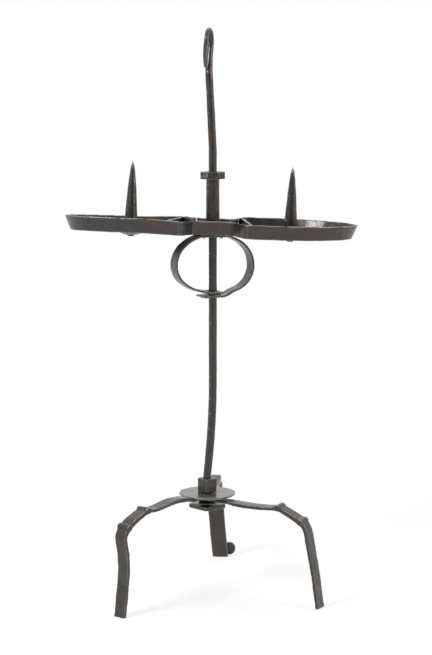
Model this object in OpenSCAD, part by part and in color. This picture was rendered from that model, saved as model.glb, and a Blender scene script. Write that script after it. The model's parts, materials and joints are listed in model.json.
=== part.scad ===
// Forged iron candlestick for two candles: a tray with two spikes slides and turns on an
// upright bar over three bent strap legs, and a sprung bow under the tray grips the bar.
// The floor is z = 0, and the straight middle of the bar stands on the z axis.

/* [Hub] */
// Distance that the hub stands to the left of the bar's straight line
hub_shift = 5.4; // [2:0.2:8]
// Height of the hub plate's underside above the floor
hub_h = 81.8; // [70:0.2:95]
// Side of the square plate under the legs
plate_side = 25; // [22:0.5:30]
// Thickness of the square plate
plate_t = 4.2; // [2:0.1:6]
// Thickness of each leg's flattened end in the stack
tab_t = 3.05; // [2:0.05:4]
// Radius of the round disc on top of the legs
disc_r = 27; // [22:0.5:31]
// Thickness of the round disc
disc_t = 2.3; // [1.5:0.1:4]
// Side of the square block round the bar's foot
block_side = 13.4; // [11.5:0.1:18]
// Height of the square block
block_h = 13.8; // [8:0.2:20]
// Turn of the block and the plate about the upright
hub_turn = 41; // [0:1:89]
// Radius of the bar's tail, which rivets the hub together
tail_r = 3; // [2:0.1:3.5]
// Radius of the riveted head under the plate
head_r = 5.4; // [4:0.1:8]
// Height of the riveted head
head_h = 2; // [1:0.1:3]

/* [Legs] */
// Width of the strap of the two front legs
front_w = 13; // [10:0.5:16]
// Width of the strap of the back leg
back_w = 16.6; // [12:0.2:20]
// Thickness of the leg straps
strap_t = 4.5; // [3:0.1:5.5]
// Reach of the left leg's foot from the hub
left_reach = 121.5; // [110:0.5:135]
// Reach of the right leg's foot from the hub
right_reach = 122; // [110:0.5:135]
// Reach of the back leg's foot from the hub
back_reach = 129; // [115:0.5:138]
// Direction of the left leg
left_angle = 229; // [215:1:240]
// Direction of the right leg
right_angle = -30; // [-45:1:-15]
// Direction of the back leg
back_angle = 87; // [75:1:100]
// Sideways lean of the back leg's shank
back_lean = 4.6; // [0:0.5:8]
// Radius of the hammered knuckle at each bend
knuckle_r = 3.4; // [2.6:0.1:4.5]
// Radius of the round button behind the back foot
button_r = 6.6; // [4:0.2:8]
// Thickness of the round button
button_t = 4; // [2:0.2:6]

/* [Bar] */
// Radius of the bar
bar_r = 4; // [3.6:0.05:4.2]
// Radius of the bar just under the eye
neck_r = 3.7; // [3:0.05:3.9]
// Height of the neck where the eye starts
neck_h = 496; // [490:1:520]
// Height of the eye, from the neck to the top of its curve
eye_h = 40.5; // [34:0.5:50]
// Half of the eye's opening
eye_half = 7.6; // [6:0.2:10]
// Radius of the rod at the eye's thick side
eye_r = 2.9; // [2.4:0.1:3.2]
// Radius of the rod at the eye's tip
eye_tip_r = 1.6; // [1.2:0.1:2]

/* [Sleeve] */
// Height of the tray's underside above the floor, on the bar
tray_z = 345.6; // [320:0.2:360]
// Radial play between the bar and the sleeve
slide_play = 0.35; // [0.25:0.05:0.5]
// Wall of the sleeve at its top end
sleeve_wall = 1.9; // [1.4:0.1:3]
// How much the sleeve widens towards the tray
sleeve_flare = 0.5; // [0:0.05:0.6]
// Length of the sleeve, from the tray's underside to the top of the collar
sleeve_l = 59.2; // [45:0.2:70]
// Width of the eight-sided collar across its flats
collar_w = 23.2; // [18:0.2:28]
// Height of the collar
collar_h = 6.8; // [4:0.2:10]
// Radial play of the turning pieces on the sleeve
turn_play = 0.08; // [0.05:0.01:0.1]

/* [Tray] */
// Lean of the tray, its right end lower
tray_lean = 2; // [0:0.1:2.4]
// Twist of the left pan, its near side higher
left_twist = -2.9; // [-4:0.1:0]
// Twist of the right pan
right_twist = 0.4; // [-1:0.1:2]
// Length of the tray to the left of the bar
tray_left = 140.2; // [132:0.2:150]
// Length of the tray to the right of the bar
tray_right = 136.8; // [130:0.2:150]
// Half of a pan's depth from front to back
pan_half = 46; // [42:0.5:52]
// Half of the neck's depth from front to back
neck_half = 20; // [18:0.5:26]
// Height of the rim
rim_h = 14; // [11:0.2:18]
// How far the rim leans out from the floor to its top edge
rim_flare = 5.8; // [3:0.1:8]
// Thickness of the rim
rim_t = 1.9; // [1.4:0.1:2.6]
// Thickness of the floor
floor_t = 1.6; // [1.2:0.1:2.4]
// Thickness of the strips that part the pans from the neck
strip_t = 1.8; // [1.2:0.1:3]
// How far the strips stand below the rim's edge
strip_drop = 0.8; // [0:0.1:4]

/* [Prickets] */
// Distance of the left pricket from the bar
left_spike = 77.5; // [66:0.5:90]
// Distance of the right pricket from the bar
right_spike = 73; // [66:0.5:90]
// Height of a pricket above the tray's floor
spike_h = 65.6; // [50:0.2:80]
// Radius of a pricket at the floor
spike_r = 6.6; // [5:0.1:8]
// Radius of a pricket's tail
spike_tail_r = 2.6; // [2:0.1:3]
// Radius of the domed washer under a pricket
washer_r = 13; // [10:0.5:18]
// Depth of the domed washer
washer_h = 3.6; // [2.6:0.1:6]
// Thickness of the domed washer
washer_t = 1.5; // [1:0.1:2]

/* [Grip] */
// Turn of the bow about the bar
grip_turn = 26; // [0:1:45]
// Width of the bow's strip
grip_w = 13; // [12.6:0.2:16]
// Thickness of the bow's strip
grip_t = 2.4; // [1.6:0.1:2.6]
// Reach of the bow's left side from the bar
left_bow = 39.2; // [36:0.2:44]
// Reach of the bow's right side from the bar
right_bow = 41.4; // [36:0.2:44]
// Depth of the bow from the tray's underside to its crossing ends
bow_h = 54.6; // [50:0.2:62]
// Width of the plates at the ends of the bow's arms
end_w = 19; // [16:0.5:24]
// Radial play between the bar and the holes in the bow, which pass the bar's bend
grip_play = 1.6; // [1.5:0.05:1.8]
// How far a squeeze moves each arm's end
squeeze = 2.4; // [1:0.1:2.6]
// Radius of the two rivets that hold the bow
grip_rivet_r = 1.5; // [1:0.1:1.8]

/* [Hidden] */
$fn = 64;

iron = [0.27, 0.25, 0.23];
worn_iron = [0.42, 0.41, 0.38];
rusty_iron = [0.33, 0.26, 0.22];

fit_gap = 0.05;                 // play of a riveted or driven fit
seat_gap = 0.3;                 // gap between pieces that move apart
skin = 0.01;                    // extra length of a cutting tool
hub_x = -hub_shift;
plate_top = hub_h + plate_t;
back_tab_z = plate_top + tab_t / 2;
right_tab_z = back_tab_z + tab_t;
left_tab_z = right_tab_z + tab_t;
disc_z = left_tab_z + tab_t / 2;
block_z = disc_z + disc_t;
block_top = block_z + block_h;
straight_low = 200;             // lower end of the bar's straight middle
straight_top = 425;             // upper end of the bar's straight middle
slide_r = bar_r + slide_play;
grip_hole_r = bar_r + grip_play;
sleeve_r = slide_r + sleeve_wall;
sleeve_foot_r = sleeve_r + sleeve_flare;
crown_half = 12;                // half length of the bow's flat crown
crown_z = -grip_t / 2;
grip_rivet_u = 9.2;             // distance of the bow's rivets from the bar

function unit(v) = v / norm(v);
function ease(t) = t * t * (3 - 2 * t);

// A point of a smooth curve between b and c, with a and d as its neighbours
function curve_point(a, b, c, d, t) =
    0.5 * (2 * b + (c - a) * t + (2 * a - 5 * b + 4 * c - d) * t * t
           + (3 * b - a - 3 * c + d) * t * t * t);

// A smooth curve through points p, with n steps from each point to the next
function smooth(p, n) = concat(
    [for (i = [0 : len(p) - 2], k = [0 : n - 1])
        curve_point(p[max(i - 1, 0)], p[i], p[i + 1], p[min(i + 2, len(p) - 1)], k / n)],
    [p[len(p) - 1]]);

// Side-on outline of a strap whose points are [along, height, thickness]
function strap_side(p, i) =
    let (d = unit([for (j = [0, 1]) p[min(i + 1, len(p) - 1)][j] - p[max(i - 1, 0)][j]]))
    [-d[1], d[0]] * p[i][2] / 2;
function strap_outline(p) = concat(
    [for (i = [0 : len(p) - 1]) [p[i][0], p[i][1]] + strap_side(p, i)],
    [for (i = [len(p) - 1 : -1 : 0]) [p[i][0], p[i][1]] - strap_side(p, i)]);

// A strap of width w that follows points p in the plane of x and z
module strap(p, w, steps = 3)
    rotate([90, 0, 0])
        linear_extrude(height = w, center = true)
            polygon(strap_outline(smooth(p, steps)));

// A bent round bar through points [x, y, z, radius]; none of its runs may follow the x axis
rod_sides = 20;
function place(p) = [p[0], p[1], p[2]];
function rod_ring(p, i) =
    let (t = unit(place(p[min(i + 1, len(p) - 1)]) - place(p[max(i - 1, 0)])),
         e = unit([1, 0, 0] - t[0] * t),
         f = cross(t, e))
    [for (k = [0 : rod_sides - 1])
        let (a = k * 360 / rod_sides)
        place(p[i]) + p[i][3] * (cos(a) * e + sin(a) * f)];
module bent_rod(p) {
    m = rod_sides;
    rings = [for (i = [0 : len(p) - 1]) each rod_ring(p, i)];
    sides = [for (i = [0 : len(p) - 2], k = [0 : m - 1])
                let (a = i * m + k, b = i * m + (k + 1) % m)
                each [[a, a + m, b + m], [a, b + m, b]]];
    polyhedron(points = rings,
               faces = concat(sides, [[for (k = [0 : m - 1]) k]],
                              [[for (k = [m - 1 : -1 : 0]) (len(p) - 1) * m + k]]));
}

// The bar bends towards the hub below its straight middle, and towards the eye above it.
// The bent runs start a shade thinner, inside the straight ones.
join_r = bar_r - 0.1;
bar_foot = concat(
    [[hub_x, 0, block_top + 0.2, join_r]],
    smooth([[hub_x, 0, block_top + 1.6, join_r], [-4, 0, 128, bar_r], [-2.4, 0, 146, bar_r],
            [-1.2, 0, 164, bar_r], [-0.4, 0, 181, bar_r], [0, 0, straight_low - 1.5, join_r]], 3),
    [[0, 0, straight_low + 1, join_r]]);

// The eye is the bar's thinned end, bent up, over and down again in front
bar_end = concat([[0, 0, straight_top - 1, join_r]], smooth([
            [0, 0, straight_top + 1.5, join_r],
            [-0.9, 0, 445, bar_r - 0.1], [-1.9, 0, 466, bar_r - 0.2],
            [-2.7, 0, 482, bar_r - 0.3],
            [-3.4, 0, neck_h, neck_r],
            [-3.2, eye_half * 0.45, neck_h + eye_h * 0.3, eye_r + 0.4],
            [-2, eye_half * 0.8, neck_h + eye_h * 0.6, eye_r + 0.1],
            [-1.6, eye_half * 0.8, neck_h + eye_h * 0.78, eye_r],
            [-2.2, eye_half * 0.45, neck_h + eye_h * 0.93, eye_r - 0.1],
            [-3.4, -eye_half * 0.05, neck_h + eye_h, eye_r - 0.4],
            [-4.8, -eye_half * 0.6, neck_h + eye_h * 0.94, eye_r - 0.6],
            [-5.8, -eye_half, neck_h + eye_h * 0.8, eye_r - 0.7],
            [-6.8, -eye_half, neck_h + eye_h * 0.6, eye_r - 0.8],
            [-7.4, -eye_half * 0.85, neck_h + eye_h * 0.38, eye_tip_r + 0.1],
            [-6.8, -eye_half * 0.62, neck_h + eye_h * 0.14, eye_tip_r]], 3));

module bar() color(iron) {
    translate([0, 0, straight_low]) cylinder(h = straight_top - straight_low, r = bar_r);
    bent_rod(bar_foot);
    bent_rod(bar_end);
    translate([hub_x, 0, block_z]) cylinder(h = block_h + 1, r = bar_r);
    translate([hub_x, 0, hub_h - head_h / 2]) cylinder(h = block_z - hub_h + head_h, r = tail_r);
    translate([hub_x, 0, hub_h - head_h]) cylinder(h = head_h, r1 = head_r * 0.6, r2 = head_r);
}

module bar_block() color(iron)
    translate([hub_x, 0, block_z])
        difference() {
            rotate([0, 0, hub_turn])
                translate([-block_side / 2, -block_side / 2, 0])
                    cube([block_side, block_side, block_h]);
            translate([0, 0, -skin]) cylinder(h = block_h + 2 * skin, r = bar_r + fit_gap);
        }

module base_disc() color(worn_iron)
    translate([hub_x, 0, disc_z])
        difference() {
            cylinder(h = disc_t, r = disc_r, $fn = 96);
            translate([0, 0, -skin]) cylinder(h = disc_t + 2 * skin, r = tail_r + fit_gap);
        }

module hub_plate() color(iron)
    translate([hub_x, 0, hub_h])
        difference() {
            rotate([0, 0, hub_turn])
                translate([-plate_side / 2, -plate_side / 2, 0])
                    cube([plate_side, plate_side, plate_t]);
            translate([0, 0, -skin]) cylinder(h = plate_t + 2 * skin, r = tail_r + fit_gap);
        }

// Each leg's side view from the disc's edge to the foot, as [share of the leg's reach,
// share of its height at the hub, thickness as a share of the strap's]
left_profile = [[0.28, 1.03, 1], [0.42, 1.038, 1], [0.54, 1.017, 0.9], [0.64, 1.004, 0.85],
                [0.72, 1.012, 0.95], [0.79, 0.987, 1.1], [0.87, 0.945, 1.15],
                [0.945, 0.89, 1.15], [0.982, 0.81, 1], [0.975, 0.72, 0.95],
                [0.962, 0.62, 0.9], [0.956, 0.5, 0.9], [0.962, 0.36, 0.9],
                [0.98, 0.19, 0.9], [1, 0, 0.9], [1.005, -0.05, 0.9]];
right_profile = [[0.28, 0.992, 0.95], [0.41, 0.987, 0.95], [0.5, 0.987, 0.9], [0.6, 0.997, 0.85],
                 [0.655, 1.005, 1], [0.705, 0.978, 1.05], [0.762, 0.945, 1.1],
                 [0.82, 0.905, 1.15], [0.865, 0.865, 1.1], [0.895, 0.79, 1],
                 [0.918, 0.64, 0.9], [0.948, 0.44, 0.85], [0.974, 0.24, 0.85],
                 [1, 0, 0.85], [1.006, -0.05, 0.85]];
back_profile = [[0.25, 1, 0.95], [0.42, 1, 0.95], [0.55, 1.005, 0.9], [0.66, 1.018, 0.9],
                [0.73, 1.028, 1], [0.8, 0.985, 1.05], [0.87, 0.935, 1.1], [0.915, 0.885, 1.1],
                [0.945, 0.79, 1], [0.955, 0.66, 0.9], [0.962, 0.45, 0.9], [0.978, 0.22, 0.9],
                [1, 0, 0.9], [1.005, -0.05, 0.9]];

// A leg's flattened end lies in the hub's stack, and its strap follows its profile outwards.
// Its shank, from point bend of the profile on, leans sideways by lean.
// knuckles lists the hammered ridges across its bends, as shares of reach and height.
module knuckle(along, up, w)
    translate([along, w / 2, up])
        rotate([90, 0, 0]) cylinder(h = w, r = knuckle_r, $fn = 32);

module leg(angle, tab_z, reach, profile, knuckles, w, bend, lean = 0) {
    out = [for (p = profile) [p[0] * reach, p[1] * tab_z, p[2] * strap_t]];
    arm = concat([[-disc_r * 0.42, tab_z, tab_t], [disc_r * 0.5, tab_z, tab_t],
                  [disc_r * 0.96, tab_z, tab_t]],
                 [for (i = [0 : bend]) out[i]]);
    shank = [for (i = [bend : len(out) - 1]) out[i]];
    pivot = [out[bend][0], 0, out[bend][1]];
    translate([hub_x, 0, 0])
        rotate([0, 0, angle])
            difference() {
                union() {
                    strap(arm, w);
                    translate(pivot) rotate([lean, 0, 0]) translate(-pivot) strap(shank, w);
                    for (k = knuckles) knuckle(k[0] * reach, k[1] * tab_z, w + 1.4);
                }
                translate([0, 0, -skin]) cylinder(h = tab_z + strap_t, r = tail_r + fit_gap);
                translate([0, -back_w * 2, -20]) cube([reach * 1.2, back_w * 4, 20]);
            }
}

module left_leg() color(rusty_iron)
    leg(left_angle, left_tab_z, left_reach, left_profile, [[0.733, 1.018], [0.945, 0.895]],
        front_w, 7);
module right_leg() color(rusty_iron)
    leg(right_angle, right_tab_z, right_reach, right_profile, [[0.648, 1.013], [0.845, 0.893]],
        front_w, 8);
module back_leg() color(rusty_iron)
    leg(back_angle, back_tab_z, back_reach, back_profile, [[0.735, 1.035], [0.915, 0.9]],
        back_w, 7, -back_lean);

// The button lies flat on the outer side of the back foot, half past its right edge
module back_foot_button() color(iron)
    translate([hub_x, 0, 0])
        rotate([0, 0, back_angle])
            translate([back_reach + strap_t / 2 + 0.1, -back_w * 0.92, button_r + 1.6])
                rotate([0, 90, 0]) cylinder(h = button_t, r = button_r);

// What rides on the bar: the tray's own frame, with z = 0 at the tray's underside
module on_tray() translate([0, 0, tray_z]) rotate([0, tray_lean, 0]) children();

module sleeve() color(iron)
    translate([0, 0, tray_z])
        difference() {
            translate([0, 0, seat_gap])
                cylinder(h = sleeve_l - seat_gap, r1 = sleeve_foot_r, r2 = sleeve_r);
            translate([0, 0, -skin]) cylinder(h = sleeve_l + 2 * skin, r = slide_r);
        }

module collar() color(iron)
    translate([0, 0, tray_z + sleeve_l - collar_h])
        difference() {
            rotate([0, 0, 22.5]) cylinder(h = collar_h, r = collar_w / 2 / cos(22.5), $fn = 8);
            translate([0, 0, -skin])
                cylinder(h = collar_h + 2 * skin,
                         r = sleeve_r + sleeve_flare * collar_h / sleeve_l + turn_play);
        }

// Half depth of the tray against its length, drawn in by d: ends, shoulders and neck.
// Each point is [x, half depth].
shoulder_in = 16;               // where the neck starts to widen
shoulder_out = 32;              // where a pan has its full depth
pan_full = 60;                  // where a pan starts to round off
end_steps = 11;
function pan_end(a, tip, round_x, round_y, d) =
    [pan_full + (tip - d - pan_full) * pow(sin(a), 2 / round_x),
     (pan_half - d) * pow(cos(a), 2 / round_y)];
function shoulder(s, d) =
    [shoulder_out - (shoulder_out - shoulder_in) * s,
     pan_half - d - (pan_half - neck_half) * ease(s)];
function tray_outline(d) = concat(
    [for (i = [end_steps : -1 : 0])
        let (q = pan_end(i * 89 / end_steps, tray_left, 2.6, 2, d)) [-q[0], q[1]]],
    [for (s = [0 : 0.2 : 1]) let (q = shoulder(s, d)) [-q[0], q[1]]],
    [for (s = [1 : -0.2 : 0]) shoulder(s, d)],
    [for (i = [0 : end_steps]) pan_end(i * 89 / end_steps, tray_right, 1.9, 1.6, d)]);

// Twist of the tray about its length at x
function twist_at(x) =
    (x < 0 ? left_twist : right_twist) * ease(min(1, max(0, (abs(x) - shoulder_in) / 34)));
function twisted(x, y, z) =
    let (a = twist_at(x)) [x, y * cos(a) - z * sin(a), y * sin(a) + z * cos(a)];

// A tray-shaped solid from height z0, drawn in by d0, to height z1, drawn in by d1
module tray_solid(d0, z0, d1, z1) {
    low = tray_outline(d0);
    high = tray_outline(d1);
    n = len(low);
    points = [for (i = [0 : n - 1])
                 each [twisted(low[i][0], -low[i][1], z0), twisted(low[i][0], low[i][1], z0),
                       twisted(high[i][0], high[i][1], z1), twisted(high[i][0], -high[i][1], z1)]];
    sides = [for (i = [0 : n - 2], k = [0 : 3])
                let (a = 4 * i + k, b = 4 * i + (k + 1) % 4)
                each [[a, a + 4, b], [b, a + 4, b + 4]]];
    polyhedron(points = points,
               faces = concat(sides, [[0, 1, 2], [0, 2, 3]],
                              [[4 * n - 4, 4 * n - 2, 4 * n - 3], [4 * n - 4, 4 * n - 1, 4 * n - 2]]));
}

// The space inside the rim, kept gap away from it, up to height top
function flare_at(z) = rim_flare * (1 - z / rim_h);
module tray_inside(gap, top)
    tray_solid(flare_at(floor_t) + rim_t + gap, floor_t + gap,
               flare_at(top) + rim_t + gap, top);

module on_spikes() {
    translate([-left_spike, 0, 0]) rotate([left_twist, 0, 0]) children();
    translate([right_spike, 0, 0]) rotate([right_twist, 0, 0]) children();
}

module tray() color(rusty_iron)
    on_tray()
        difference() {
            tray_solid(rim_flare, 0, 0, rim_h);
            tray_inside(0, rim_h + 1);
            translate([0, 0, -1])
                cylinder(h = rim_h, r = sleeve_foot_r + turn_play + rim_h * sin(tray_lean) / 4);
            on_spikes() translate([0, 0, -1]) cylinder(h = rim_h, r = spike_tail_r + fit_gap);
            rotate([0, 0, grip_turn])
                for (u = [-grip_rivet_u, grip_rivet_u])
                    translate([u, 0, -1]) cylinder(h = rim_h, r = grip_rivet_r + fit_gap);
        }

// Strip that closes a pan off from the neck, from its near end to its far end
module pan_strip(near_x, far_x)
    on_tray()
        intersection() {
            tray_inside(fit_gap, rim_h - strip_drop);
            let (run = [far_x - near_x, 2 * pan_half])
            translate([(near_x + far_x) / 2, 0, 0])
                rotate([0, 0, atan2(run[1], run[0])])
                    translate([-pan_half * 2, -strip_t / 2, -rim_h])
                        cube([pan_half * 4, strip_t, rim_h * 3]);
        }

left_strip_near = -46;
left_strip_far = -30;
right_strip_near = 37;
right_strip_far = 27;
module left_pan_strip() color(worn_iron) pan_strip(left_strip_near, left_strip_far);
module right_pan_strip() color(worn_iron) pan_strip(right_strip_near, right_strip_far);

// A spike with its tail through the floor and the domed washer
module pricket()
    rotate_extrude()
        polygon([[0, -washer_h - 0.8], [spike_tail_r + 0.8, -washer_h - 0.8],
                 [spike_tail_r + 1.2, -washer_h - fit_gap], [spike_tail_r, -washer_h - fit_gap],
                 [spike_tail_r, floor_t + fit_gap], [spike_r, floor_t + fit_gap],
                 [spike_r * 0.9, floor_t + spike_h * 0.25],
                 [spike_r * 0.68, floor_t + spike_h * 0.56],
                 [spike_r * 0.46, floor_t + spike_h * 0.79],
                 [spike_r * 0.28, floor_t + spike_h * 0.92],
                 [0, floor_t + spike_h]]);
module left_pricket() color(iron)
    on_tray() translate([-left_spike, 0, 0]) rotate([left_twist, 0, 0]) pricket();
module right_pricket() color(iron)
    on_tray() translate([right_spike, 0, 0]) rotate([right_twist, 0, 0]) pricket();

// A dished washer, its edge up against the floor and its crown down
module domed_washer() {
    ball_r = (washer_r * washer_r + washer_h * washer_h) / (2 * washer_h);
    difference() {
        intersection() {
            translate([0, 0, ball_r - washer_h]) sphere(r = ball_r);
            translate([0, 0, -washer_h - 1]) cylinder(h = washer_h + 1 - fit_gap, r = washer_r * 2);
        }
        translate([0, 0, ball_r - washer_h]) sphere(r = ball_r - washer_t);
        translate([0, 0, -washer_h - 1]) cylinder(h = washer_h, r = spike_tail_r + fit_gap);
    }
}
module left_washer() color(iron)
    on_tray() translate([-left_spike, 0, 0]) rotate([left_twist, 0, 0]) domed_washer();
module right_washer() color(iron)
    on_tray() translate([right_spike, 0, 0]) rotate([right_twist, 0, 0]) domed_washer();

// The bow's own plane: u runs across it, turned about the bar
module on_grip() on_tray() rotate([0, 0, grip_turn]) children();

// Where the bar crosses the bow's end plates, in the bow's own plane
function bar_u(z) = -z * tan(tray_lean) * cos(grip_turn);
function bar_v(z) = z * tan(tray_lean) * sin(grip_turn);

module grip_crown() color(iron)
    on_grip()
        difference() {
            translate([-crown_half, -grip_w / 2, -grip_t - fit_gap])
                cube([2 * crown_half, grip_w, grip_t]);
            translate([0, 0, -grip_t - 1]) cylinder(h = grip_t + 2, r = grip_hole_r);
            for (u = [-grip_rivet_u, grip_rivet_u])
                translate([u, 0, -grip_t - 1]) cylinder(h = grip_t + 2, r = grip_rivet_r + fit_gap);
        }

rivet_head_r = 2.2;
rivet_head_h = 1.5;
module grip_rivets() color(worn_iron)
    on_grip()
        for (u = [-grip_rivet_u, grip_rivet_u])
            translate([u, 0, 0]) {
                translate([0, 0, -grip_t - 2 * fit_gap])
                    cylinder(h = grip_t + floor_t + 4 * fit_gap, r = grip_rivet_r);
                translate([0, 0, -grip_t - 2 * fit_gap - rivet_head_h])
                    cylinder(h = rivet_head_h, r1 = rivet_head_r * 0.5, r2 = rivet_head_r);
                translate([0, 0, floor_t + 2 * fit_gap])
                    cylinder(h = rivet_head_h, r1 = rivet_head_r, r2 = rivet_head_r * 0.5);
            }

// Side of the bow from the crown down to its end at height end_z, drawn for the right arm as
// [across, height, thickness]: points are shares of its reach and of its depth.
function bow_side(half, end_z) = concat(
    [[crown_half + 2 * seat_gap, crown_z - fit_gap, grip_t],
     [crown_half + 2.6, crown_z - fit_gap - 0.1, grip_t],
     [crown_half + 6.5, crown_z - 1.5, grip_t]],
    [for (p = [[0.67, 0.12], [0.85, 0.23], [0.955, 0.355], [1, 0.5], [0.975, 0.63],
               [0.87, 0.77], [0.71, 0.865]])
        [half * p[0], end_z * p[1], grip_t]]);
left_end_z = -bow_h;            // the left arm's plate lies above the right arm's
end_gap = 1.1;                  // gap between the two plates at rest
right_end_z = left_end_z - grip_t - end_gap;
slot_half = grip_hole_r + squeeze;
left_tip = slot_half + 1.5;
right_tip = slot_half + 3;
left_end = [[left_bow * 0.5, left_end_z + 3.2, grip_t], [slot_half, left_end_z + 0.5, grip_t],
            [0, left_end_z, grip_t], [-left_tip, left_end_z, grip_t * 0.9]];
right_end = [[right_bow * 0.5, right_end_z + 4.2, grip_t],
             [left_tip + 2 * squeeze, right_end_z + 0.6, grip_t], [slot_half, right_end_z, grip_t],
             [0, right_end_z, grip_t], [-right_tip, right_end_z - 0.6, grip_t * 0.9]];

// An arm of the bow, drawn for the right side: the strip, and a wider plate with a slot for the bar
module arm(sides, end, tip, side) {
    plate_in = slot_half + 3;
    whole = concat(sides, end);
    hole = [side * bar_u(end[1][1]), bar_v(end[1][1])];
    difference() {
        union() {
            strap(whole, grip_w);
            intersection() {
                strap(whole, end_w);
                translate([-tip - 5, -end_w / 2, -bow_h * 1.5])
                    cube([tip + 5 + plate_in, end_w, bow_h]);
            }
        }
        translate([hole[0], hole[1], -bow_h * 1.3]) {
            cylinder(h = bow_h * 0.5, r = grip_hole_r);
            translate([squeeze, 0, 0]) cylinder(h = bow_h * 0.5, r = grip_hole_r);
            translate([0, -grip_hole_r, 0]) cube([squeeze, 2 * grip_hole_r, bow_h * 0.5]);
        }
    }
}
module grip_right_arm() color(iron) on_grip() arm(bow_side(right_bow, right_end_z), right_end, right_tip, 1);
module grip_left_arm() color(iron)
    on_grip() mirror([1, 0, 0]) arm(bow_side(left_bow, left_end_z), left_end, left_tip, -1);

bar();
bar_block();
base_disc();
hub_plate();
left_leg();
right_leg();
back_leg();
back_foot_button();
sleeve();
collar();
tray();
left_pan_strip();
right_pan_strip();
left_pricket();
right_pricket();
left_washer();
right_washer();
grip_crown();
grip_rivets();
grip_left_arm();
grip_right_arm();
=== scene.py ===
"""Looks of a forged iron candlestick for two candles, on a white ground."""

import json
import math

import bpy
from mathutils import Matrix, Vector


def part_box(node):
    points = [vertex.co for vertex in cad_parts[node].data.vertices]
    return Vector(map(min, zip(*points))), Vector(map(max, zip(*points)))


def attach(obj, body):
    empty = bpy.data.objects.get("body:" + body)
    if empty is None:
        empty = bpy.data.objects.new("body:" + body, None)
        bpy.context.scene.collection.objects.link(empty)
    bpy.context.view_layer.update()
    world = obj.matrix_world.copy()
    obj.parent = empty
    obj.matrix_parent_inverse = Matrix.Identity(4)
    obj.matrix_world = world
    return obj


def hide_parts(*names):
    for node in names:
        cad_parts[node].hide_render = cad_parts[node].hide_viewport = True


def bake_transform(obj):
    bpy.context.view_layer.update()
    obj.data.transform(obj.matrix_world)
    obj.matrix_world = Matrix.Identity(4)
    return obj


bl_info = {
    "name": "Forged Iron Candlestick",
    "version": (1, 0, 0),
    "blender": (4, 5, 0),
    "location": "View3D > Sidebar > Candlestick",
    "description": "Finishes a forged iron candlestick and sets it on a white ground",
    "category": "Object",
}

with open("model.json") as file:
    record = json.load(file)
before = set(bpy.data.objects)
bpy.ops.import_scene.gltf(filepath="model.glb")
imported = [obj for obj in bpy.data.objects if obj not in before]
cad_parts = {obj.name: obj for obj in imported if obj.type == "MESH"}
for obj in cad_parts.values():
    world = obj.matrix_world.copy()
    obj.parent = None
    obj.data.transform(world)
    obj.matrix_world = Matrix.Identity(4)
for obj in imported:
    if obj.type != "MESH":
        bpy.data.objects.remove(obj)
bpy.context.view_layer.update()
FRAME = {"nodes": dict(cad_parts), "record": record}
MM = 0.001

BODY_OF = {node: body for body, nodes in FRAME["record"]["behaviour"]["bodies"].items()
           for node in nodes}
SLOT_OF = {part["node"]: part["material_slot"] for part in FRAME["record"]["subparts"]}

WELD = 0.002 * MM              # corners of the loose triangles that are one point
DENT_WIDTH = 11.0 * MM         # width of a hammer mark
SCALE_WIDTH = 2.6 * MM         # width of a flake of forge scale
DENT_LEVEL = 0.7               # share of a mark's depth that goes inwards

GREEN_GREY = (0.07, 0.075, 0.064, 1.0)
# Sizes of the iron's patterns, as their number in a metre
BLOTCHES = 38.0
PATCHES = 90.0
FACETS = 110.0
GRAIN = 900.0
WEAR_EDGE = (0.51, 0.55)       # how sharp an edge is where it starts to be bare, and all bare
BUMP_DEPTH = 0.3 * MM
METALLIC = 0.8
WAX = 0.5                      # weight of the waxed coat
WAX_ROUGHNESS = 0.2

BOW_TURN = math.radians(26.0)  # turn of the bow about the bar
STRIP_START = 14.6 * MM        # how far from the bar a side of the bow is drawn in to the crown
STRIP_DRAWN = 1.0 * MM         # how far it is drawn in
STRIP_DEPTH = 6.0 * MM         # how far below the crown that reaches

GROUND_SIZE = 12.0
GROUND_GLOW = 0.72             # the ground's own white where the shadow falls
GROUND_PAPER = 0.3
SHADOW_REACH = (0.25, 0.75)    # the shadow fades out between these distances from the bar
HORIZON = 0.2
ROOF = 0.4
ROOM = 0.25                    # how bright the room in front looks in a gloss; the ground is 1
ROOM_EDGE = (-0.7, -0.1)       # where it starts and ends, as a direction's share along y
# Each lamp's name, place, turn in degrees, width in metres and power in watts
LAMPS = (
    ("key", (-1.2, -1.1, 1.5), (48.0, 0.0, -46.0), 0.55, 27.0),
    ("fill", (1.3, -0.6, 0.9), (65.0, 0.0, 62.0), 0.6, 8.0),
    ("roof", (0.0, 0.5, 2.0), (-15.0, 0.0, 0.0), 1.0, 12.0),
)
CAMERA_SIDE = 0.00304
CAMERA_HEIGHT = 0.50417
CAMERA_PITCH = math.radians(82.2)
CAMERA_LENS = 105.4
CAMERA_FILM = 36.0


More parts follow.
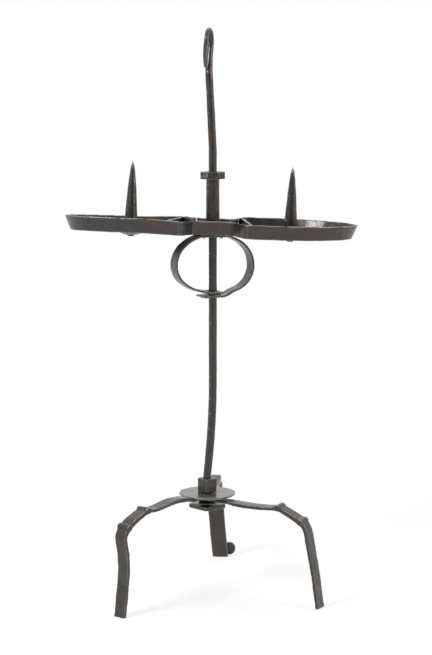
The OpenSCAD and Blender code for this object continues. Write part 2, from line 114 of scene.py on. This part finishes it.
class CandlestickProps(bpy.types.PropertyGroup):
    iron_colour: bpy.props.FloatVectorProperty(
        name="Iron", description="Colour of the dark iron", size=4, subtype="COLOR",
        min=0.0, max=1.0, default=(0.046, 0.039, 0.034, 1.0))
    pale_colour: bpy.props.FloatVectorProperty(
        name="Pale iron", description="Colour of the disc and of the strips", size=4, subtype="COLOR",
        min=0.0, max=1.0, default=(0.13, 0.128, 0.118, 1.0))
    rust_colour: bpy.props.FloatVectorProperty(
        name="Rust", description="Colour of the rusty patches", size=4, subtype="COLOR",
        min=0.0, max=1.0, default=(0.092, 0.044, 0.029, 1.0))
    bare_colour: bpy.props.FloatVectorProperty(
        name="Bare edges", description="Colour of the iron where wear has bared it", size=4,
        subtype="COLOR", min=0.0, max=1.0, default=(0.3, 0.285, 0.26, 1.0))
    rust: bpy.props.FloatProperty(
        name="Rusty share", description="How much of the legs and the tray is rusty",
        subtype="FACTOR", min=0.0, max=1.0, default=0.45)
    hammer: bpy.props.FloatProperty(
        name="Hammering", description="Depth of the hammer marks", unit="LENGTH", precision=5,
        min=0.0, max=0.002, default=0.00055)
    scale: bpy.props.FloatProperty(
        name="Scale", description="Depth of the flakes of forge scale", unit="LENGTH", precision=5,
        min=0.0, max=0.0005, default=0.00012)
    distance: bpy.props.FloatProperty(
        name="Camera distance", description="Distance from the bar to the camera", unit="LENGTH",
        min=0.8, max=4.0, default=1.805)


def props():
    return bpy.context.scene.candlestick


class Nodes:
    """Adds shader nodes to one node tree and links them."""

    def __init__(self, tree):
        self.tree = tree
        tree.nodes.clear()

    def fill(self, node, values):
        for key, value in values.items():
            if hasattr(value, "is_output"):
                self.tree.links.new(value, node.inputs[key])
            else:
                node.inputs[key].default_value = value

    def add(self, kind, values=(), **settings):
        node = self.tree.nodes.new(kind)
        for key, value in settings.items():
            setattr(node, key, value)
        self.fill(node, dict(values))
        return node

    def noise(self, vector, per_metre, detail, roughness=0.55):
        return self.add("ShaderNodeTexNoise", {"Vector": vector, "Scale": per_metre, "Detail": detail,
                                               "Roughness": roughness}).outputs["Fac"]

    def spread(self, value, low, high, to_low=0.0, to_high=1.0):
        return self.add("ShaderNodeMapRange", {"Value": value, "From Min": low, "From Max": high,
                                               "To Min": to_low, "To Max": to_high}).outputs["Result"]

    def math(self, operation, first, second):
        return self.add("ShaderNodeMath", {0: first, 1: second}, operation=operation).outputs[0]

    def mix(self, share, first, second):
        node = self.add("ShaderNodeMix", data_type="RGBA")
        self.fill(node, {0: share, 6: first, 7: second})
        return node.outputs[2]


def iron(name, base, rust_share, polish):
    """Waxed iron: rusty and greenish patches, pale grains, and edges worn bare."""
    material = bpy.data.materials.new(name)
    material.use_nodes = True
    n = Nodes(material.node_tree)
    rust = tuple(props().rust_colour)
    bare = tuple(props().bare_colour)
    place = n.add("ShaderNodeTexCoord").outputs["Object"]
    blotches = n.noise(place, BLOTCHES, 3.0)
    patches = n.noise(place, PATCHES, 6.0, 0.65)
    grain = n.noise(place, GRAIN, 5.0, 0.7)
    facets = n.add("ShaderNodeTexVoronoi", {"Vector": place, "Scale": FACETS}, feature="SMOOTH_F1")
    rusty = n.mix(n.spread(patches, 0.62 - rust_share * 0.3, 0.72), tuple(base), rust)
    greenish = n.mix(n.spread(blotches, 0.5, 0.75, 0.0, 0.4), rusty, GREEN_GREY)
    speckled = n.mix(n.spread(grain, 0.62, 0.8, 0.0, 0.5), greenish, bare)
    edges = n.spread(n.add("ShaderNodeNewGeometry").outputs["Pointiness"], *WEAR_EDGE, 0.0, 0.8)
    colour = n.mix(edges, speckled, bare)
    rough = n.spread(patches, 0.3, 0.8, polish, polish + 0.2)
    height = n.math("ADD", facets.outputs["Distance"], n.spread(grain, 0.0, 1.0, 0.0, 0.25))
    bump = n.add("ShaderNodeBump", {"Strength": 0.5, "Distance": BUMP_DEPTH, "Height": height})
    shader = n.add("ShaderNodeBsdfPrincipled", {
        "Base Color": colour, "Metallic": METALLIC, "Roughness": rough, "Coat Weight": WAX,
        "Coat Roughness": WAX_ROUGHNESS, "Normal": bump.outputs["Normal"]})
    n.add("ShaderNodeOutputMaterial", {"Surface": shader.outputs["BSDF"]})
    return material


def iron_of(slot):
    """The finish of a material slot, made when it is first asked for."""
    name = "forged_" + slot
    if name in bpy.data.materials:
        return bpy.data.materials[name]
    if slot == "worn_iron":
        return iron(name, props().pale_colour, props().rust * 0.4, 0.3)
    if slot == "rusty_iron":
        return iron(name, props().iron_colour, props().rust, 0.34)
    return iron(name, props().iron_colour, props().rust * 0.5, 0.3)


def pick(piece):
    """Makes piece the only thing selected, and the active one."""
    bpy.ops.object.select_all(action="DESELECT")
    piece.select_set(True)
    bpy.context.view_layer.objects.active = piece


def merged_copy(name):
    """A copy of a CAD node's mesh with its triangles joined up."""
    mesh = FRAME["nodes"][name].data.copy()
    mesh.materials.clear()
    piece = bpy.data.objects.new("forged_" + name, mesh)
    bpy.context.scene.collection.objects.link(piece)
    pick(piece)
    bpy.ops.object.mode_set(mode="EDIT")
    bpy.ops.mesh.select_all(action="SELECT")
    bpy.ops.mesh.remove_doubles(threshold=WELD)
    bpy.ops.object.mode_set(mode="OBJECT")
    return piece


def dent(piece, name, width, depth):
    texture = bpy.data.textures.new(name, "CLOUDS")
    texture.noise_scale = width
    texture.noise_depth = 1
    marks = piece.modifiers.new(name, "DISPLACE")
    marks.texture = texture
    marks.texture_coords = "LOCAL"
    marks.strength = depth
    marks.mid_level = DENT_LEVEL


def forge(name, grain, wear, hammer):
    """Stands a forged piece in for a CAD node: edges worn round, and hammer marks and scale.

    grain is the width of its faces in mm, wear the passes of smoothing, and hammer the depth
    of its marks as a share of the set one."""
    piece = merged_copy(name)
    even = piece.modifiers.new("even faces", "REMESH")
    even.mode = "VOXEL"
    even.voxel_size = grain * MM
    worn = piece.modifiers.new("worn edges", "SMOOTH")
    worn.factor = 0.5
    worn.iterations = wear
    dent(piece, "hammer marks", DENT_WIDTH, props().hammer * hammer)
    dent(piece, "scale", SCALE_WIDTH, props().scale)
    for modifier in list(piece.modifiers):
        bpy.ops.object.modifier_apply(modifier=modifier.name)
    bpy.ops.object.shade_smooth()
    piece.data.materials.append(iron_of(SLOT_OF[name]))
    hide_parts(name)
    return piece


def forge_all(names, grain, wear, hammer):
    for name in names:
        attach(forge(name, grain, wear, hammer), BODY_OF[name])


class CandlestickLegs(bpy.types.Operator):
    """Forge the three strap legs"""

    bl_idname = "candlestick.legs"
    bl_label = "Legs"

    def execute(self, context):
        forge_all(("left_leg", "right_leg", "back_leg"), grain=0.6, wear=12, hammer=1.3)
        return {"FINISHED"}


class CandlestickHub(bpy.types.Operator):
    """Forge the hub's block, disc and plate, and the button on the back foot"""

    bl_idname = "candlestick.hub"
    bl_label = "Hub"

    def execute(self, context):
        forge_all(("bar_block", "hub_plate", "back_foot_button"), grain=0.4, wear=6, hammer=1.0)
        forge_all(("base_disc",), grain=0.45, wear=4, hammer=0.9)
        return {"FINISHED"}


class CandlestickBar(bpy.types.Operator):
    """Forge the bar with its eye"""

    bl_idname = "candlestick.bar"
    bl_label = "Bar"

    def execute(self, context):
        forge_all(("bar",), grain=0.45, wear=4, hammer=0.6)
        return {"FINISHED"}


class CandlestickSleeve(bpy.types.Operator):
    """Forge the sleeve and its collar"""

    bl_idname = "candlestick.sleeve"
    bl_label = "Sleeve"

    def execute(self, context):
        forge_all(("sleeve", "collar"), grain=0.4, wear=5, hammer=0.5)
        return {"FINISHED"}


class CandlestickTray(bpy.types.Operator):
    """Forge the tray and the strips that part its pans"""

    bl_idname = "candlestick.tray"
    bl_label = "Tray"

    def execute(self, context):
        forge_all(("tray",), grain=0.8, wear=2, hammer=0.9)
        forge_all(("left_pan_strip", "right_pan_strip"), grain=0.5, wear=4, hammer=0.6)
        return {"FINISHED"}


class CandlestickPrickets(bpy.types.Operator):
    """Forge the two prickets and their washers"""

    bl_idname = "candlestick.prickets"
    bl_label = "Prickets"

    def execute(self, context):
        forge_all(("left_pricket", "right_pricket"), grain=0.45, wear=4, hammer=0.9)
        forge_all(("left_washer", "right_washer"), grain=0.4, wear=3, hammer=0.4)
        return {"FINISHED"}


class CandlestickBow(bpy.types.Operator):
    """Forge the bow that grips the bar, one strip that bends at its crown"""

    bl_idname = "candlestick.bow"
    bl_label = "Bow"

    def execute(self, context):
        forge_all(("grip_crown", "grip_rivets"), grain=0.35, wear=3, hammer=0.4)
        low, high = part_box("grip_crown")
        crown_z = (low[2] + high[2]) / 2
        for side, arm in ((1, "right_arm"), (-1, "left_arm")):
            across = (side * math.cos(BOW_TURN), side * math.sin(BOW_TURN))
            strip = forge("grip_" + arm, grain=0.45, wear=4, hammer=0.5)
            self.draw_in(strip, across, crown_z)
            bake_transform(strip)
        return {"FINISHED"}

    def draw_in(self, strip, across, crown_z):
        """Draws the strip's upper end in, so that it meets the crown."""
        pick(strip)
        bpy.ops.object.mode_set(mode="EDIT")
        bpy.ops.mesh.select_mode(type="VERT")
        bpy.ops.mesh.select_all(action="DESELECT")
        bpy.ops.object.mode_set(mode="OBJECT")
        for vertex in strip.data.vertices:
            x, y, z = vertex.co
            far = x * across[0] + y * across[1]
            vertex.select = far < STRIP_START and z > crown_z - STRIP_DEPTH
        bpy.ops.object.mode_set(mode="EDIT")
        bpy.ops.transform.translate(value=(-across[0] * STRIP_DRAWN, -across[1] * STRIP_DRAWN, 0.0))
        bpy.ops.object.mode_set(mode="OBJECT")


def seen_directly(n):
    """1 for what the camera sees itself, in a gloss or through glass."""
    path = n.add("ShaderNodeLightPath").outputs
    seen = n.math("MAXIMUM", path["Is Camera Ray"], path["Is Glossy Ray"])
    return n.math("MAXIMUM", seen, path["Is Transmission Ray"])


def white_ground():
    """White paper that keeps a soft shadow round the object and is plain white farther out."""
    material = bpy.data.materials.new("white_ground")
    material.use_nodes = True
    n = Nodes(material.node_tree)
    paper = n.add("ShaderNodeBsdfDiffuse", {"Color": (0.8, 0.8, 0.8, 1.0)})
    thin_paper = n.add("ShaderNodeBsdfDiffuse", {"Color": (GROUND_PAPER,) * 3 + (1.0,)})
    glow = n.add("ShaderNodeEmission", {"Color": (1.0, 1.0, 1.0, 1.0), "Strength": GROUND_GLOW})
    near = n.add("ShaderNodeAddShader", {0: glow.outputs[0], 1: thin_paper.outputs[0]})
    white = n.add("ShaderNodeEmission", {"Color": (1.0, 1.0, 1.0, 1.0), "Strength": 1.0})
    place = n.add("ShaderNodeTexCoord").outputs["Object"]
    far = n.add("ShaderNodeVectorMath", {0: place}, operation="LENGTH").outputs["Value"]
    seen = n.add("ShaderNodeMixShader", {0: n.spread(far, *SHADOW_REACH), 1: near.outputs[0],
                                         2: white.outputs[0]})
    both = n.add("ShaderNodeMixShader", {0: seen_directly(n), 1: paper.outputs[0], 2: seen.outputs[0]})
    n.add("ShaderNodeOutputMaterial", {"Surface": both.outputs[0]})
    return material


def studio_world():
    """A white background, a dimmer room in front, and a light that is stronger from above."""
    world = bpy.data.worlds.new("studio")
    bpy.context.scene.world = world
    world.use_nodes = True
    n = Nodes(world.node_tree)
    way = n.add("ShaderNodeSeparateXYZ", {0: n.add("ShaderNodeTexCoord").outputs["Generated"]})
    light = n.spread(way.outputs["Z"], 0.0, 1.0, HORIZON, ROOF)
    around = n.add("ShaderNodeBackground", {"Color": (1.0, 1.0, 1.0, 1.0), "Strength": light})
    camera = n.add("ShaderNodeLightPath").outputs["Is Camera Ray"]
    white = n.math("MAXIMUM", camera, n.spread(way.outputs["Y"], *ROOM_EDGE, ROOM, 1.0))
    plain = n.add("ShaderNodeBackground", {"Color": (1.0, 1.0, 1.0, 1.0), "Strength": white})
    both = n.add("ShaderNodeMixShader", {0: seen_directly(n), 1: around.outputs[0], 2: plain.outputs[0]})
    n.add("ShaderNodeOutputWorld", {"Surface": both.outputs[0]})


class CandlestickStage(bpy.types.Operator):
    """Set up the ground, the lamps and the camera"""

    bl_idname = "candlestick.stage"
    bl_label = "Stage"

    def execute(self, context):
        bpy.ops.mesh.primitive_plane_add(size=GROUND_SIZE)
        ground = context.object
        ground.name = "ground"
        ground.data.materials.append(white_ground())
        studio_world()
        for name, place, turn, width, power in LAMPS:
            bpy.ops.object.light_add(type="AREA", location=place,
                                     rotation=[math.radians(angle) for angle in turn])
            context.object.name = name
            context.object.data.size = width
            context.object.data.energy = power
        bpy.ops.object.camera_add(location=(CAMERA_SIDE, -props().distance, CAMERA_HEIGHT),
                                  rotation=(CAMERA_PITCH, 0.0, 0.0))
        context.object.data.lens = CAMERA_LENS
        context.object.data.sensor_width = CAMERA_FILM
        context.scene.camera = context.object
        context.scene.view_settings.view_transform = "Standard"
        return {"FINISHED"}


OPERATORS = (CandlestickLegs, CandlestickHub, CandlestickBar, CandlestickSleeve, CandlestickTray,
             CandlestickPrickets, CandlestickBow, CandlestickStage)


class CandlestickPanel(bpy.types.Panel):
    """Lists the sizes, the colours and the operators"""

    bl_idname = "VIEW3D_PT_candlestick"
    bl_label = "Candlestick"
    bl_space_type = "VIEW_3D"
    bl_region_type = "UI"
    bl_category = "Candlestick"

    def draw(self, context):
        for name in CandlestickProps.__annotations__:
            self.layout.prop(context.scene.candlestick, name)
        for operator in OPERATORS:
            self.layout.operator(operator.bl_idname)


CLASSES = (CandlestickProps, *OPERATORS, CandlestickPanel)


def register():
    for cls in CLASSES:
        bpy.utils.register_class(cls)
    bpy.types.Scene.candlestick = bpy.props.PointerProperty(type=CandlestickProps)


def unregister():
    del bpy.types.Scene.candlestick
    for cls in reversed(CLASSES):
        bpy.utils.unregister_class(cls)


def main():
    register()
    bpy.ops.candlestick.legs()
    bpy.ops.candlestick.hub()
    bpy.ops.candlestick.bar()
    bpy.ops.candlestick.sleeve()
    bpy.ops.candlestick.tray()
    bpy.ops.candlestick.prickets()
    bpy.ops.candlestick.bow()
    bpy.ops.candlestick.stage()


if __name__ == "__main__":
    main()
